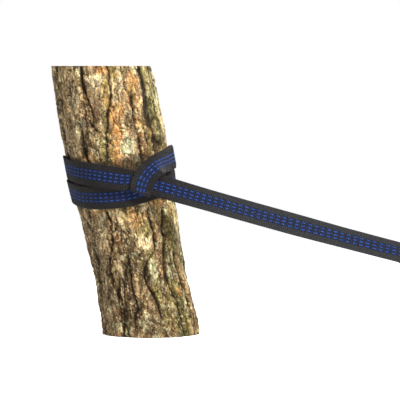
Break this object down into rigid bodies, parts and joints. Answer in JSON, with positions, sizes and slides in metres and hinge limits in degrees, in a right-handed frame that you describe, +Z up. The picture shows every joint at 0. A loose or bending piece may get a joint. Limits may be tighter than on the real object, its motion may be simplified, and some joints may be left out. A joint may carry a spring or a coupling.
{
  "type": "tree strap on a trunk",
  "caption": "Flat webbing tree strap wound twice round a section of leaning trunk and choked through its sewn end loop, with a taut running part and a carabiner.",
  "frame": {"origin": "centre of the trunk section's sawn foot, on the ground", "axes": "+Z up, +X the way the running part leads, -Y the side where the strap passes through its loop"},
  "size_m": [0.4854, 0.1267, 0.3016],
  "materials": {
    "bark": "rough fissured bark",
    "wood": "sawn end grain",
    "webbing": "flat woven polyester",
    "tracer": "bright filament yarn",
    "thread": "dense bar tack stitching",
    "alloy": "dark grey anodised",
    "steel": "bright"
  },
  "bodies": {
    "trunk": {"trunk_wood": "wood", "trunk_bark": "bark"},
    "choker": {"strap_under_loop": "webbing", "upper_wrap_front": "webbing", "upper_wrap_behind": "webbing", "lower_wrap_front": "webbing", "lower_wrap_behind": "webbing", "end_loop_front_leg": "webbing", "end_loop_fold": "webbing", "end_loop_back_leg": "webbing", "upper_wrap_tracers": "tracer", "lower_wrap_tracers": "tracer", "end_loop_tracers": "tracer", "end_loop_bar_tack": "thread"},
    "tail": {"tail_webbing": "webbing", "tail_tracers": "tracer", "far_loop": "webbing", "far_loop_bar_tack": "thread"},
    "carabiner": {"carabiner_frame": "alloy", "gate_pin": "steel"},
    "gate": {"carabiner_gate": "alloy", "gate_plunger": "steel", "gate_spring": "steel"}
  },
  "joints": [
    {"name": "choker_turn", "type": "hinge", "parent": "trunk", "child": "choker", "pos_m": [-0.03279, 0, 0.1719], "axis": [-0.1874, 0, 0.9823], "range_deg": [-60, 60]},
    {"name": "tail_swing", "type": "hinge", "parent": "choker", "child": "tail", "pos_m": [0.01449, -0.05865, 0.16116], "axis": [-0.2638, -0.0215, -0.9643], "range_deg": [-15, 60]},
    {"name": "carabiner_swing", "type": "hinge", "parent": "tail", "child": "carabiner", "pos_m": [0.31516, -0.03343, 0.0779], "axis": [0.188, 0.5165, 0.8354], "range_deg": [-90, 90]},
    {"name": "gate_open", "type": "hinge", "parent": "carabiner", "child": "gate", "pos_m": [0.32331, -0.04179, 0.05969], "axis": [0.2021, -0.8527, 0.4817], "range_deg": [0, 25], "stiffness_Nm_per_rad": 0.05, "springref_deg": -17.19}
  ]
}
